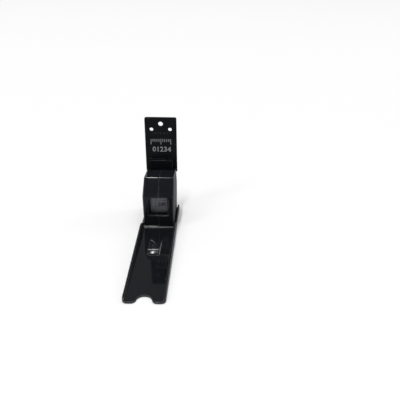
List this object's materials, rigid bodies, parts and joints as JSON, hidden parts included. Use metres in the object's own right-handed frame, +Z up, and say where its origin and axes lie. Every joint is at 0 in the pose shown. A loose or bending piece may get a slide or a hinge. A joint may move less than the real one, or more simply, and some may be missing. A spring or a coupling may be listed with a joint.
{
  "type": "wall stadiometer",
  "caption": "Wall-mounted height measure: a flanged head arm carries a cased spring reel whose steel tape pulls up to a screwed wall plate.",
  "frame": {"origin": "centre of the bounding box's bottom: the middle of the head arm's flat underside, which is the measuring face", "axes": "+Z up the wall, +Y towards the wall that the plate is screwed to, -Y along the arm towards its tip, +X to the right as seen from the front"},
  "size_m": [0.042, 0.2, 0.123],
  "materials": {
    "black_abs": "glossy moulded black ABS",
    "clear_lens": "clear polystyrene window",
    "zinc_steel": "zinc-plated steel",
    "spring_steel": "blued spring strip",
    "grey_plastic": "satin grey acetal",
    "tape_enamel": "off-white enamelled steel tape with black scale"
  },
  "bodies": {
    "head": {"head_arm": "black_abs", "case_left": "black_abs", "case_right": "black_abs", "window_lens": "clear_lens", "spindle": "zinc_steel", "washer_right": "zinc_steel", "washer_left": "zinc_steel", "case_screw_1": "zinc_steel", "case_screw_2": "zinc_steel", "case_screw_3": "zinc_steel", "case_screw_4": "zinc_steel", "base_screw_1": "zinc_steel", "base_screw_2": "zinc_steel", "base_screw_3": "zinc_steel", "base_screw_4": "zinc_steel"},
    "tape_reel": {"reel": "grey_plastic", "reel_cover": "grey_plastic", "tape_coil": "tape_enamel", "mainspring": "spring_steel"},
    "wall_bracket": {"wall_plate": "black_abs", "tape_end_clip": "zinc_steel", "tape_blade": "tape_enamel", "clip_screw_1": "zinc_steel", "clip_screw_2": "zinc_steel"}
  },
  "joints": [
    {"name": "plate_slide", "type": "slide", "parent": "head", "child": "wall_bracket", "axis": [0, 0, 1], "range_m": [0, 2], "stiffness_N_per_m": 1.5, "springref_m": -2.7, "deforming": ["tape_blade"]},
    {"name": "reel_spin", "type": "hinge", "parent": "head", "child": "tape_reel", "pos_m": [0, 0.0731, 0.029], "axis": [1, 0, 0], "range_deg": [0, 5900]}
  ],
  "couplings": [
    {"joint": "reel_spin", "follows": "plate_slide", "rad_per_m": 51.02}
  ]
}
